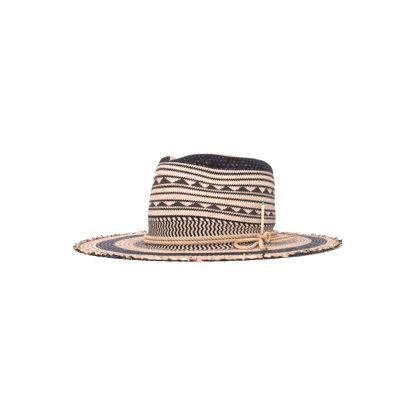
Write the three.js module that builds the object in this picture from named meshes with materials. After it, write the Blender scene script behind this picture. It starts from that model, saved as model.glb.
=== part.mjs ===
import * as THREE from 'three';

// A woven palm straw hat with a creased crown and a wide frayed brim, a doubled rope tied round the
// foot of the crown with a bow, and a wooden match tucked into the rope. Millimetres, +Z up. The
// front of the hat faces -Y, its wearer's left is +X, and it rests on its brim at z = 0.

// Azimuths are measured from the front, towards the wearer's left.
const degree = Math.PI / 180;
const wallThickness = 2;
const seatGap = 0.3;

// The woven rings from the middle of the crown out to the edge, on the middle of the straw's
// thickness. row counts weft rows from the middle. halfWidth and halfLength are the ring's oval,
// shiftX and shiftY its centre. height is its mean, tilt raises the front, side the wearer's left,
// bowRise the brim near the bow and lift its two raised sides. At the two front pinches the ring
// drops by dip and moves in by press, and at the front of the centre crease it drops by notch.
const ringColumns = ['row', 'halfWidth', 'halfLength', 'shiftX', 'shiftY', 'height', 'tilt', 'side',
  'bowRise', 'lift', 'dip', 'press', 'notch'];
const ringTable = {
  centre: [0, 4, 10, 0, 10, 97, -4, 0, 0, 0, 0, 0, 0],
  creaseFloor: [13, 17, 38, 0, 10, 98, -5, 0, 0, 0, 0, 0, 0],
  creaseWall: [29, 38, 60, 0, 8, 109, 1, 0, 0, 0, -1, 4, 5],
  ridge: [45, 62, 79, 0, 8, 117.6, 6, 2.6, 0, 0, -2.5, 6, 11],
  shoulder: [53, 74, 90.5, 0, 7, 113, 9, 0, 0, 0, 2, 9, 5],
  topStripe: [61, 78, 95, 0, 5, 102, 15, 0, 0, 0, 11, 8.5, 2],
  middleStripe: [81, 81, 97, 0, 3, 71, 12, 0, 0, 0, 3, 4, 0],
  zigzagTop: [109, 83, 99, 0, 2, 35.3, 8.5, -0.5, -2, 0, 0, 1.5, 0],
  foot: [127, 80.8, 96.6, 0.3, 0.6, 15.6, 1.2, 2.9, 1.2, 0, 0, 0, 0],
  turn: [133, 82.9, 98.7, 0.3, 0.6, 5.6, 1.4, 3, 1.3, 0, 0, 0, 0],
  brimStart: [137, 90.5, 106.5, 1, 1, 3.5, 0.2, 1.8, 1.6, 0, 0, 0, 0],
  zigzagEnd: [150, 108, 126, 5, 5, 3, -0.3, 0.8, 1.2, 0, 0, 0, 0],
  darkInner: [164, 130, 148, 2, 4, 3.5, -0.4, 0.3, 0.4, 0, 0, 0, 0],
  darkOuter: [180, 152, 173, 2, 2, 2.5, 0, 0, 0, 0.6, 0, 0, 0],
  edge: [193, 171, 193, 0.2, -0.4, 1, 0, 0, 0, 1, 0, 0, 0],
};
const pinch = { azimuth: 46 * degree, width: 27 * degree };
const notch = { azimuth: -6 * degree, width: 13 * degree };
const bowSide = { azimuth: 70 * degree, width: 42 * degree };
// The edge stands off the table at both sides, so the hat rests on its front and its back
const brimLifts = [
  { height: 2.2, from: 45 * degree, to: 185 * degree },
  { height: 2.6, from: 195 * degree, to: 300 * degree },
];

// The frayed ends round the edge: a ring whose outline and top swell and narrow in lumps
const fringe = {
  length: 6, thickness: 3.2, topInset: 1.5, footInset: 1, innerDrop: 0.4, lumps: 47, lumpDepth: 0.9,
  lumpHeight: 0.3, secondLumpPitch: 2.3, secondLumpShare: 0.5,
};

const ropeDiameter = 5.1;
const knotAzimuth = 88 * degree;
const bowDiameters = { front: 3.8, back: 2.6, tail: 4.6 };
// The match stands off the straw by footClear at its foot and by topClear where it crosses topRow,
// a little nearer the front
const match = {
  length: 50, width: 2.3, headLength: 4.6, headWidth: 3.2,
  footAzimuth: 91.2 * degree, footRow: 131, footClear: 1.8,
  topAzimuth: 89.3 * degree, topRow: 104, topClear: 2.4,
};
// The rope's oval round the foot of the crown, before its own thickness, and how far the lower of
// the two turns lies out from it
const bandOval = {
  halfWidth: 80.9, halfLength: 96.9, shiftX: 0.3, shiftY: 0.6, lowerTurnOut: 0.5, turnSpacing: 5.35, lift: 0.1,
};
// The rope bulges outwards over the match
const bandBulge = { azimuth: match.footAzimuth, width: 7 * degree, out: 3.9 };

// How many flats each form is cut into: round the straw, the fringe and a rope's section, and along
// a turn, a loop, the tail and the knot
const flats = { straw: 72, fringe: 144, section: 8, turn: 90, loop: 44, tail: 16, knot: 30 };

const straw = { color: 0xe3c3a3, roughness: 0.75 };
const rope = { color: 0xc39c72, roughness: 0.9 };

const rings = Object.values(ringTable).map((values) =>
  Object.fromEntries(ringColumns.map((column, i) => [column, values[i]])));

// A bell curve round one azimuth
function bell(azimuth, { azimuth: centre, width }) {
  const away = THREE.MathUtils.euclideanModulo(azimuth - centre + Math.PI, 2 * Math.PI) - Math.PI;
  return Math.exp(-((away / width) ** 2));
}

// How far the edge stands off the table, none at the front and the back
function brimRise(azimuth) {
  const turned = THREE.MathUtils.euclideanModulo(azimuth, 2 * Math.PI);
  const raised = brimLifts.find(({ from, to }) => turned > from && turned < to);
  if (!raised) return 0;
  return raised.height * Math.sin(Math.PI * (turned - raised.from) / (raised.to - raised.from)) ** 2;
}

function ringPoint(ring, azimuth) {
  const sin = Math.sin(azimuth);
  const cos = Math.cos(azimuth);
  const pinched = bell(azimuth, pinch) + bell(azimuth, { ...pinch, azimuth: -pinch.azimuth });
  const notched = bell(azimuth, notch);
  return new THREE.Vector3(
    (ring.halfWidth - ring.press * pinched) * sin + ring.shiftX,
    -(ring.halfLength - ring.press * pinched) * cos + ring.shiftY,
    ring.height + ring.tilt * cos + ring.side * sin + ring.bowRise * bell(azimuth, bowSide)
      + ring.lift * brimRise(azimuth)
      - ring.dip * pinched - ring.notch * notched,
  );
}

// A point on the straw: a cubic through the rings at one azimuth, whose slope at each ring is the
// mean of the slopes beside it, weighted by the rows between
function strawPoint(azimuth, row) {
  const last = rings.length - 2;
  const found = rings.findIndex((ring) => ring.row > row) - 1;
  const index = found < 0 ? last : Math.min(found, last);
  const point = (i) => ringPoint(rings[i], azimuth);
  const rows = (i) => rings[i + 1].row - rings[i].row;
  const slope = (i) => point(i + 1).sub(point(i)).divideScalar(rows(i));
  const slopeAt = (i) => {
    if (i === 0) return slope(0);
    if (i > last) return slope(last);
    return slope(i - 1).multiplyScalar(rows(i))
      .addScaledVector(slope(i), rows(i - 1))
      .divideScalar(rows(i) + rows(i - 1));
  };
  const span = rows(index);
  const t = (row - rings[index].row) / span;
  return point(index).multiplyScalar(2 * t ** 3 - 3 * t ** 2 + 1)
    .addScaledVector(slopeAt(index), span * (t ** 3 - 2 * t ** 2 + t))
    .addScaledVector(point(index + 1), 3 * t ** 2 - 2 * t ** 3)
    .addScaledVector(slopeAt(index + 1), span * (t ** 3 - t ** 2));
}

// The outward normal of the straw, upward on the brim
function strawNormal(azimuth, row) {
  const step = 0.5;
  const firstRow = ringTable.centre[0];
  const lastRow = ringTable.edge[0];
  const outer = strawPoint(azimuth, Math.min(row + step, lastRow));
  const inner = strawPoint(azimuth, Math.max(row - step, firstRow));
  const along = strawPoint(azimuth + degree, row).sub(strawPoint(azimuth - degree, row));
  return outer.sub(inner).cross(along).normalize();
}

// A closed mesh from rings of points, each the same length, that follow one another. The first
// and last ring are closed by a fan, or joined to each other when the rings close on themselves.
function loftRings(loops, { joined }) {
  const count = loops[0].length;
  const positions = loops.flat().flatMap((point) => [point.x, point.y, point.z]);
  const faces = [];
  const bands = joined ? loops.length : loops.length - 1;
  for (let i = 0; i < bands; i += 1) {
    const here = i * count;
    const next = ((i + 1) % loops.length) * count;
    for (let j = 0; j < count; j += 1) {
      const k = (j + 1) % count;
      faces.push(here + j, next + k, here + k, here + j, next + j, next + k);
    }
  }
  if (!joined) {
    [[0, true], [loops.length - 1, false]].forEach(([index, reversed]) => {
      const middle = new THREE.Vector3();
      loops[index].forEach((point) => middle.addScaledVector(point, 1 / count));
      const tip = positions.length / 3;
      positions.push(middle.x, middle.y, middle.z);
      for (let j = 0; j < count; j += 1) {
        const a = index * count + j;
        const b = index * count + ((j + 1) % count);
        faces.push(...(reversed ? [tip, a, b] : [tip, b, a]));
      }
    });
  }
  const geometry = new THREE.BufferGeometry();
  geometry.setAttribute('position', new THREE.Float32BufferAttribute(positions, 3));
  geometry.setIndex(faces);
  geometry.computeVertexNormals();
  return geometry;
}

function azimuths(count) {
  return Array.from({ length: count }, (_, i) => (i / count) * 2 * Math.PI);
}

const hat = new THREE.Group();

function addPiece(name, geometry, { color, roughness }) {
  const material = new THREE.MeshStandardMaterial({ color, roughness, metalness: 0 });
  const mesh = new THREE.Mesh(geometry, material);
  mesh.name = name;
  hat.add(mesh);
  return mesh;
}

// The crown and brim are one woven shell. Its underside is flat on the table from flatRow outwards.
const bodyRows = [0, 7, 13, 21, 29, 36, 41, 45, 49, 53, 57, 61, 69, 81, 95, 109, 118, 124, 127, 130,
  133, 137, 143, 150, 164, 180, 187, 193];
const flatRow = 187;

function underside(azimuth, row) {
  const point = strawPoint(azimuth, row);
  point.addScaledVector(strawNormal(azimuth, row), -wallThickness / 2);
  point.z = row < flatRow ? Math.max(point.z, 0) : brimRise(azimuth);
  return point;
}

function topside(azimuth, row) {
  const point = strawPoint(azimuth, row);
  point.addScaledVector(strawNormal(azimuth, row), wallThickness / 2);
  return point;
}

function makeBody() {
  const around = azimuths(flats.straw);
  const outer = bodyRows.map((row) => around.map((azimuth) => topside(azimuth, row)));
  const inner = bodyRows.map((row) => around.map((azimuth) => underside(azimuth, row)));
  return loftRings([...outer, ...inner.reverse()], { joined: false });
}

// The frayed ends round the edge, as one ring of their outer form
function makeFringe() {
  const lastRow = ringTable.edge[0];
  const near = wallThickness / 4 + seatGap;
  const sections = azimuths(flats.fringe).map((azimuth) => {
    const edge = strawPoint(azimuth, lastRow);
    const outward = new THREE.Vector3(Math.sin(azimuth), -Math.cos(azimuth), 0);
    const lump = Math.sin(fringe.lumps * azimuth)
      + fringe.secondLumpShare * Math.sin(fringe.secondLumpPitch * fringe.lumps * azimuth);
    const far = near + fringe.length + fringe.lumpDepth * lump;
    const at = (distance, height) => edge.clone()
      .setZ(brimRise(azimuth) + height)
      .addScaledVector(outward, distance);
    return [
      at(near, fringe.thickness - fringe.innerDrop),
      at(far - fringe.topInset, fringe.thickness + fringe.lumpHeight * lump),
      at(far, fringe.thickness / 2),
      at(far - fringe.footInset, 0),
      at(near, 0),
    ];
  });
  const loops = sections[0].map((_, i) => sections.map((points) => points[i]));
  return loftRings(loops, { joined: true });
}

function circleShape(radius, sides) {
  return new THREE.Shape(Array.from({ length: sides }, (_, i) => new THREE.Vector2(
    radius * Math.cos((i / sides) * 2 * Math.PI),
    radius * Math.sin((i / sides) * 2 * Math.PI),
  )));
}

function makeTube(points, { diameter, steps }) {
  const path = new THREE.CatmullRomCurve3(points, false, 'centripetal');
  const shape = circleShape(diameter / 2, flats.section);
  return new THREE.ExtrudeGeometry(shape, { steps, bevelEnabled: false, extrudePath: path });
}

// The middle of the rope at one azimuth: level 0 is the turn that lies on the brim, level 1 the
// turn above it
function bandPoint(azimuth, level) {
  const turn = ringPoint(rings[Object.keys(ringTable).indexOf('turn')], azimuth);
  const clear = wallThickness / 2 + seatGap + ropeDiameter / 2;
  const outward = bandOval.lowerTurnOut * (1 - level) + bandBulge.out * bell(azimuth, bandBulge);
  return new THREE.Vector3(
    (bandOval.halfWidth + clear + outward) * Math.sin(azimuth) + bandOval.shiftX,
    -(bandOval.halfLength + clear + outward) * Math.cos(azimuth) + bandOval.shiftY,
    turn.z + clear + bandOval.lift + bandOval.turnSpacing * level,
  );
}

function addTube(name, points, size) {
  addPiece(name, makeTube(points.map((point) => new THREE.Vector3(...point)), size), rope);
}

// The rope is doubled and goes round once, so two turns run from one side of the knot to the other
const knotHalfGap = 0.6 * degree;
const turnEnds = { from: knotAzimuth + knotHalfGap, to: knotAzimuth + 2 * Math.PI - knotHalfGap };

function addTurn(name, level) {
  const steps = flats.turn;
  const points = Array.from({ length: steps + 1 }, (_, i) => bandPoint(
    THREE.MathUtils.lerp(turnEnds.from, turnEnds.to, i / steps),
    level,
  ));
  addPiece(name, makeTube(points, { diameter: ropeDiameter, steps }), rope);
}

// The knot is one curl in front of both turns: a spiral that stands upright, from its outer end at
// the left over the top and round. angle runs clockwise from straight up, seen from outside, and
// radii are the spiral's at even steps of angle.
const knot = {
  x: 93.9, y: 0.5, z: 14.7, diameter: 3.9, from: -75 * degree, to: 310 * degree,
  radii: [9, 6.9, 6.1, 5.5, 4.7, 4.3, 4.2, 4],
};

function knotPoints() {
  const spans = knot.radii.length - 1;
  return knot.radii.map((radius, i) => {
    const angle = THREE.MathUtils.lerp(knot.from, knot.to, i / spans);
    return [knot.x, knot.y + radius * Math.sin(angle), knot.z + radius * Math.cos(angle)];
  });
}

// The bow's two loops and its one long tail leave the knot and lie on the brim. Each list holds the
// middle of the rope, in the hat's own frame.
const frontLoopPoints = [[93.7, -9.2, 10.2], [93, -16, 9.8], [93.9, -23, 9.4], [96.8, -31, 9],
  [101, -40, 8.3], [104.6, -48, 8.1], [106, -55, 8], [103, -61, 8], [97.7, -62.9, 8.1],
  [91.1, -61.3, 8.4], [85.4, -57.7, 9.2], [81.4, -53.1, 10.8], [80.7, -47.6, 12.9], [83.3, -41, 13.9],
  [86.1, -32.2, 14.1], [87.9, -25.1, 14.1], [89.5, -18.2, 14.1], [91.2, -12, 14]];
const backLoopPoints = [[94.6, 7.8, 9], [98.4, 16, 9.3], [101.9, 28, 10.2], [104.6, 40, 11.1],
  [105.9, 49, 12.1], [104.4, 56, 13.4], [99.9, 58.4, 14.2], [96.4, 53, 13.9], [94.9, 43, 13.3],
  [94.2, 32, 12.9], [93.7, 21, 12.4], [92.9, 10, 12.3]];
const tailPoints = [[94.9, -16.5, 13.9], [97.6, -19.6, 12], [101.4, -25, 10.2], [106.5, -32, 9],
  [112.5, -40, 8.6], [119, -47, 8.1], [125, -52, 7.8], [130, -54, 7.6]];

// The match leans on the crown behind the rope, with its foot just above the brim
function matchPoints() {
  const standOff = (azimuth, row, clear) => topside(azimuth, row)
    .addScaledVector(strawNormal(azimuth, row), clear);
  const foot = standOff(match.footAzimuth, match.footRow, match.footClear);
  const top = standOff(match.topAzimuth, match.topRow, match.topClear);
  const direction = top.clone().sub(foot).normalize();
  return { foot, direction };
}

function makeMatch() {
  const { foot, direction } = matchPoints();
  const stickLength = match.length - match.headLength - seatGap;
  const turned = new THREE.Quaternion().setFromUnitVectors(new THREE.Vector3(0, 0, 1), direction);
  const stick = addPiece('match_stick', new THREE.BoxGeometry(match.width, match.width, stickLength),
    { color: 0xeedfc0, roughness: 0.7 });
  stick.position.copy(foot).addScaledVector(direction, stickLength / 2);
  stick.quaternion.copy(turned);
  const ball = new THREE.SphereGeometry(match.headWidth / 2, 12, 8);
  ball.rotateX(Math.PI / 2);
  ball.scale(1, 1, match.headLength / match.headWidth);
  const head = addPiece('match_head', ball, { color: 0x4fae82, roughness: 0.8 });
  head.position.copy(foot).addScaledVector(direction, stickLength + seatGap + match.headLength / 2);
  head.quaternion.copy(turned);
}

addPiece('straw_body', makeBody(), straw);
addPiece('brim_fringe', makeFringe(), straw);
addTurn('rope_turn_lower', 0);
addTurn('rope_turn_upper', 1);
addTube('rope_knot', knotPoints(), { diameter: knot.diameter, steps: flats.knot });
addTube('bow_loop_front', frontLoopPoints, { diameter: bowDiameters.front, steps: flats.loop });
addTube('bow_loop_back', backLoopPoints, { diameter: bowDiameters.back, steps: flats.loop });
addTube('rope_tail', tailPoints, { diameter: bowDiameters.tail, steps: flats.tail });
makeMatch();

export default hat;
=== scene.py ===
import math
import bpy
import numpy as np
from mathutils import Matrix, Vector


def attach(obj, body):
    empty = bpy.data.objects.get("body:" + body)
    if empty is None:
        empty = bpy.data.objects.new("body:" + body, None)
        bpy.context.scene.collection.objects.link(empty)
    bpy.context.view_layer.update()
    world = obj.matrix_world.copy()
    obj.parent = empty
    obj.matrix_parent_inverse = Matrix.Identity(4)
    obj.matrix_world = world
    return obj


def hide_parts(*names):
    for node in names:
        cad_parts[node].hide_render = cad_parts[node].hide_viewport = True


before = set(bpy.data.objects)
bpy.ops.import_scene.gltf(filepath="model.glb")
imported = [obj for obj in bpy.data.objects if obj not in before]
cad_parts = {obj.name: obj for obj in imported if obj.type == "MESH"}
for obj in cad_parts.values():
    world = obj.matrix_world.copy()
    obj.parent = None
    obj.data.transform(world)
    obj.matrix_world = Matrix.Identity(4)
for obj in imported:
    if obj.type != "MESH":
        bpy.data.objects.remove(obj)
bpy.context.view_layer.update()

# A woven palm straw hat. Shapes are worked out in millimetres and become metres where a mesh is
# made. Azimuths run from the front of the hat, -Y, towards its wearer's left, +X.
metresPerMm = 0.001
degree = math.pi / 180
print("frame loaded")

# Camera, about level with the top of the crown, in front and to the wearer's left
view = {"distance": 1100, "height": 118, "turn": 38, "aim": (-3.6, -2.8, 51.5), "lens": 68, "sensor": 36}


# Adds an object at a place in millimetres, turned to look at aim
def addAimed(name, data, place, aim):
    made = bpy.data.objects.new(name, data)
    bpy.context.scene.collection.objects.link(made)
    made.location = Vector(place) * metresPerMm
    made.rotation_euler = (Vector(aim) - Vector(place)).to_track_quat("-Z", "Y").to_euler()
    return made


def placeCamera(view):
    turn = view["turn"] * degree
    data = bpy.data.cameras.new("camera")
    data.lens = view["lens"]
    data.sensor_width = view["sensor"]
    place = (view["distance"] * math.sin(turn), -view["distance"] * math.cos(turn), view["height"])
    bpy.context.scene.camera = addAimed("camera", data, place, view["aim"])


placeCamera(view)
print("camera placed")


# Meshes from whole arrays

# points is (n, 3) in millimetres, faces a list of (m, corners) index arrays. uv holds one pair for
# each face corner in the same order, values one number for each point under each name.
def makeMesh(name, points, faces, uv=None, values=None):
    loops = np.concatenate([block.ravel() for block in faces]).astype(np.int32)
    totals = np.concatenate([np.full(len(block), block.shape[1]) for block in faces]).astype(np.int32)
    starts = np.concatenate([[0], np.cumsum(totals)[:-1]]).astype(np.int32)
    mesh = bpy.data.meshes.new(name)
    mesh.vertices.add(len(points))
    mesh.vertices.foreach_set("co", (np.asarray(points) * metresPerMm).astype(np.float32).ravel())
    mesh.loops.add(len(loops))
    mesh.loops.foreach_set("vertex_index", loops)
    mesh.polygons.add(len(totals))
    mesh.polygons.foreach_set("loop_start", starts)
    mesh.polygons.foreach_set("use_smooth", np.ones(len(totals), bool))
    if uv is not None:
        layer = mesh.uv_layers.new(name="straws")
        layer.data.foreach_set("uv", np.asarray(uv, np.float32).ravel())
    for key, numbers in (values or {}).items():
        attribute = mesh.attributes.new(key, "FLOAT", "POINT")
        attribute.data.foreach_set("value", np.asarray(numbers, np.float32).ravel())
    mesh.update(calc_edges=True)
    mesh.validate()
    made = bpy.data.objects.new(name, mesh)
    bpy.context.scene.collection.objects.link(made)
    return made


# Four-cornered faces of a grid of rows and columns of points, closed round the columns, and each
# corner's (row, column) before it wraps
def gridFaces(rows, columns):
    i, j = np.meshgrid(np.arange(rows - 1), np.arange(columns), indexing="ij")
    corners = np.stack([[i, j], [i + 1, j], [i + 1, j + 1], [i, j + 1]]).transpose(2, 3, 0, 1)
    corners = corners.reshape(-1, 4, 2)
    return corners[..., 0] * columns + corners[..., 1] % columns, corners


def finish(piece, material, slot, *nodes):
    piece.data.materials.append(material)
    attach(piece, "root")
    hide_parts(*nodes)


# Straw surface

# The woven rings from the middle of the crown to the edge, on the middle of the straw. halfWidth
# and halfLength are a ring's oval, shiftX and shiftY its centre, height its mean and tilt how far
# its front stands higher. side raises the wearer's left, bowRise the brim at the bow and lift its
# two raised sides. At the front pinches a ring drops by dip and moves in by press, and at the
# front of the crease it drops by notch.
ringColumns = ("row", "halfWidth", "halfLength", "shiftX", "shiftY", "height", "tilt", "side",
               "bowRise", "lift", "dip", "press", "notch")
ringTable = {
    "centre": (0, 4, 10, 0, 10, 97, -4, 0, 0, 0, 0, 0, 0),
    "creaseFloor": (13, 17, 38, 0, 10, 98, -5, 0, 0, 0, 0, 0, 0),
    "creaseWall": (29, 38, 60, 0, 8, 109, 1, 0, 0, 0, -1, 4, 5),
    "ridge": (45, 62, 79, 0, 8, 117.6, 6, 2.6, 0, 0, -2.5, 6, 11),
    "shoulder": (53, 74, 90.5, 0, 7, 113, 9, 0, 0, 0, 2, 9, 5),
    "topStripe": (61, 78, 95, 0, 5, 102, 15, 0, 0, 0, 11, 8.5, 2),
    "middleStripe": (81, 81, 97, 0, 3, 71, 12, 0, 0, 0, 3, 4, 0),
    "zigzagTop": (109, 83, 99, 0, 2, 35.3, 8.5, -0.5, -2, 0, 0, 1.5, 0),
    "foot": (127, 80.8, 96.6, 0.3, 0.6, 15.6, 1.2, 2.9, 1.2, 0, 0, 0, 0),
    "turn": (133, 82.9, 98.7, 0.3, 0.6, 5.6, 1.4, 3, 1.3, 0, 0, 0, 0),
    "brimStart": (137, 90.5, 106.5, 1, 1, 3.5, 0.2, 1.8, 1.6, 0, 0, 0, 0),
    "zigzagEnd": (150, 108, 126, 5, 5, 3, -0.3, 0.8, 1.2, 0, 0, 0, 0),
    "darkInner": (164, 130, 148, 2, 4, 3.5, -0.4, 0.3, 0.4, 0, 0, 0, 0),
    "darkOuter": (180, 152, 173, 2, 2, 2.5, 0, 0, 0, 0.6, 0, 0, 0),
    "edge": (193, 171, 193, 0.2, -0.4, 1, 0, 0, 0, 1, 0, 0, 0),
}
ringRow = np.array([ring[0] for ring in ringTable.values()], float)
pinch = {"at": 46 * degree, "width": 27 * degree}
notch = {"at": -6 * degree, "width": 13 * degree}
bowSide = {"at": 70 * degree, "width": 42 * degree}
brimLifts = ({"height": 2.2, "start": 45 * degree, "end": 185 * degree},
             {"height": 2.6, "start": 195 * degree, "end": 300 * degree})
strawHalf = 1.0
lastRow = ringTable["edge"][0]
brimRow = ringTable["zigzagEnd"][0]  # the brim's own weave starts here


# The level direction straight out at an azimuth
def outWay(azimuth):
    return np.stack([np.sin(azimuth), -np.cos(azimuth), 0 * azimuth], -1)


# exp(-(distance / width)^2) round one azimuth
def bell(azimuth, at, width):
    away = np.mod(azimuth - at + np.pi, 2 * np.pi) - np.pi
    return np.exp(-((away / width) ** 2))


# The sum of some bells, each given as azimuth and width in degrees and height
def bells(azimuth, given):
    return sum(height * bell(azimuth, at * degree, width * degree) for at, width, height in given)


# How far the edge stands off the floor: height * sin^2 over each raised side, else nothing
def brimRise(azimuth):
    rise = 0
    for side in brimLifts:
        share = (np.mod(azimuth, 2 * np.pi) - side["start"]) / (side["end"] - side["start"])
        rise = rise + side["height"] * np.sin(np.pi * np.clip(share, 0, 1)) ** 2
    return rise


# The middle of the straw at arrays of azimuth and row: each ring is an oval whose height follows
# cos and sin of the azimuth and the bells above, and a cubic joins the rings from row to row
def strawAt(azimuth, row):
    azimuth, row = np.broadcast_arrays(np.asarray(azimuth, float), np.asarray(row, float))
    extra = (1,) * azimuth.ndim
    ring = {name: np.array([r[k] for r in ringTable.values()], float).reshape(-1, *extra)
            for k, name in enumerate(ringColumns)}
    sin = np.sin(azimuth)
    cos = np.cos(azimuth)
    pinched = bell(azimuth, pinch["at"], pinch["width"]) + bell(azimuth, -pinch["at"], pinch["width"])
    x = (ring["halfWidth"] - ring["press"] * pinched) * sin + ring["shiftX"]
    y = -(ring["halfLength"] - ring["press"] * pinched) * cos + ring["shiftY"]
    z = (ring["height"] + ring["tilt"] * cos + ring["side"] * sin
         + ring["bowRise"] * bell(azimuth, bowSide["at"], bowSide["width"])
         + ring["lift"] * brimRise(azimuth) - ring["dip"] * pinched
         - ring["notch"] * bell(azimuth, notch["at"], notch["width"]))
    points = np.stack([x, y, z], -1)
    span = np.diff(ringRow).reshape(-1, *extra, 1)
    steps = np.diff(points, axis=0) / span
    middle = (steps[:-1] * span[1:] + steps[1:] * span[:-1]) / (span[1:] + span[:-1])
    slopes = np.concatenate([steps[:1], middle, steps[-1:]])
    index = np.clip(np.searchsorted(ringRow, row, "right") - 1, 0, len(ringRow) - 2)
    width = np.diff(ringRow)[index]
    t = ((row - ringRow[index]) / width)[..., None]
    pick = index[None, ..., None]
    low = np.take_along_axis(points, pick, 0)[0]
    high = np.take_along_axis(points, pick + 1, 0)[0]
    lowSlope = np.take_along_axis(slopes, pick, 0)[0] * width[..., None]
    highSlope = np.take_along_axis(slopes, pick + 1, 0)[0] * width[..., None]
    return ((2 * t ** 3 - 3 * t ** 2 + 1) * low + (t ** 3 - 2 * t ** 2 + t) * lowSlope
            + (3 * t ** 2 - 2 * t ** 3) * high + (t ** 3 - t ** 2) * highSlope)


# The outward normal of the straw: the step across the rows crossed with the step along them
def strawNormal(azimuth, row):
    across = strawAt(azimuth, np.minimum(row + 0.5, lastRow)) - strawAt(azimuth, np.maximum(row - 0.5, 0))
    along = strawAt(azimuth + degree, row) - strawAt(azimuth - degree, row)
    normal = np.cross(across, along)
    return normal / np.linalg.norm(normal, axis=-1, keepdims=True)


# The point that stands clear of the straw by this much at an azimuth and a row
def standOff(azimuth, row, clear):
    return strawAt(azimuth, row) + strawNormal(azimuth, row) * (strawHalf + clear)


# Paths

upwards = np.array([0, 0, 1.0])
outwards = np.array([1.0, 0, 0])
spanSamples = 60  # on a curve between two of its points, before it is sampled evenly
tubeShift = 37.0  # millimetres from one tube's fibres to the next one's


# The point at knot value t on the line from low to high
def between(low, high, lowKnot, highKnot, t):
    return (low * (highKnot - t) + high * (t - lowKnot)) / (highKnot - lowKnot)


# The way along a path to each of its points, with each step's length raised to a power
def reachAlong(path, power=1.0):
    lengths = np.linalg.norm(np.diff(path, axis=-2), axis=-1) ** power
    return np.concatenate([np.zeros((*lengths.shape[:-1], 1)), np.cumsum(lengths, -1)], -1)


def pathLength(path):
    return float(reachAlong(path)[-1])


# A centripetal Catmull-Rom curve through the points, sampled evenly at about this step
def smoothPath(points, step):
    points = np.asarray(points, float)
    points = np.vstack([2 * points[0] - points[1], points, 2 * points[-1] - points[-2]])
    knots = reachAlong(points, 0.5)
    t = np.linspace(knots[1], knots[-2], spanSamples * (len(points) - 3) + 1)
    index = np.clip(np.searchsorted(knots, t, "right") - 1, 1, len(points) - 3)
    t = t[:, None]
    knot = [knots[index + n][:, None] for n in (-1, 0, 1, 2)]
    point = [points[index + n] for n in (-1, 0, 1, 2)]
    first = [between(point[n], point[n + 1], knot[n], knot[n + 1], t) for n in (0, 1, 2)]
    second = [between(first[n], first[n + 1], knot[n], knot[n + 2], t) for n in (0, 1)]
    curve = between(second[0], second[1], knot[1], knot[2], t)
    reach = reachAlong(curve)
    even = np.linspace(0, reach[-1], round(reach[-1] / step) + 1)
    return np.stack([np.interp(even, reach, curve[:, axis]) for axis in range(3)], -1)


def unit(vectors):
    return vectors / np.maximum(np.linalg.norm(vectors, axis=-1, keepdims=True), 1e-9)


# The two directions across each path: the first is the given direction turned square to the path
def acrossPath(paths, up):
    tangent = unit(np.gradient(paths, axis=-2))
    second = unit(np.cross(tangent, up))
    first = np.cross(second, tangent)
    return first, second


# Tubes along many paths at once, (tubes, steps, 3). Each section is an oval: the path plus
# high * cos(angle) along up plus wide * sin(angle) beside it. Flat faces close the ends. values
# hold a number for each tube or for each of its steps. With core, the line that strands are laid
# round, each point keeps its distance from it as "depth", in millimetres.
def tubes(name, paths, high, wide, up, sides, values=None, twist=0, core=None):
    count, steps = paths.shape[:2]
    first, second = acrossPath(paths, up)
    angle = np.arange(sides) / sides * 2 * np.pi + twist
    high = np.broadcast_to(high, (count, steps))[..., None, None]
    wide = np.broadcast_to(wide, (count, steps))[..., None, None]
    points = (paths[:, :, None] + high * np.cos(angle)[:, None] * first[:, :, None]
              + wide * np.sin(angle)[:, None] * second[:, :, None])
    faces, corners = gridFaces(steps, sides)
    base = (np.arange(count) * steps * sides)[:, None, None]
    quads = (faces[None] + base).reshape(-1, 4)
    start = np.arange(sides)[None] + base[:, 0]
    end = (steps - 1) * sides + np.arange(sides)[::-1][None] + base[:, 0]
    row = np.broadcast_to(corners[None, ..., 0], (count, *corners.shape[:2]))
    along = np.take_along_axis(reachAlong(paths), row.reshape(count, -1), 1)
    around = np.broadcast_to(corners[None, ..., 1] / sides, row.shape).reshape(count, -1)
    uv = np.stack([around, along + np.arange(count)[:, None] * tubeShift], -1).reshape(-1, 2)
    capUv = np.tile(np.stack([np.arange(sides) / sides, np.zeros(sides)], -1), (2 * count, 1))
    spread = {}
    for key, number in (values or {}).items():
        each = np.broadcast_to(np.asarray(number, float).reshape(count, -1), (count, steps))
        spread[key] = np.repeat(each, sides)
    if core is not None:
        spread["depth"] = np.linalg.norm(points - core[None, :, None], axis=-1)
    return makeMesh(name, points.reshape(-1, 3), [quads, np.vstack([start, end])],
                    np.vstack([uv, capUv]), spread)


# Materials

white = (1.0, 1.0, 1.0, 1.0)


def linear(hexColour):
    parts = np.array([int(hexColour[i:i + 2], 16) for i in (1, 3, 5)]) / 255
    parts = np.where(parts <= 0.04045, parts / 12.92, ((parts + 0.055) / 1.055) ** 2.4)
    return (*parts.tolist(), 1.0)


# Adds a shader node and returns its outputs. Inputs are values or other nodes' outputs, given in
# order or by number and name, and stops are the (place, hex colour) pairs of a colour ramp.
def addNode(tree, kind, *inputs, named=None, stops=None, **settings):
    made = tree.nodes.new("ShaderNode" + kind)
    for key, value in settings.items():
        setattr(made, key, value)
    if stops:
        ramp = made.color_ramp
        while len(ramp.elements) < len(stops):
            ramp.elements.new(0.5)
        for element, (place, colour) in zip(ramp.elements, stops):
            element.position = place
            element.color = linear(colour)
    for key, value in {**dict(enumerate(inputs)), **(named or {})}.items():
        if isinstance(value, bpy.types.NodeSocket):
            tree.links.new(value, made.inputs[key])
        else:
            made.inputs[key].default_value = value
    return made.outputs


# first * a + second * b + more
def weightedSum(tree, first, second, a, b, more=0.0):
    part = addNode(tree, "Math", second, b, more, operation="MULTIPLY_ADD")[0]
    return addNode(tree, "Math", first, a, part, operation="MULTIPLY_ADD")[0]


# The smallest or largest of some values
def pickOf(tree, operation, picked, *others):
    for other in others:
        picked = addNode(tree, "Math", picked, other, operation=operation)[0]
    return picked


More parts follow.
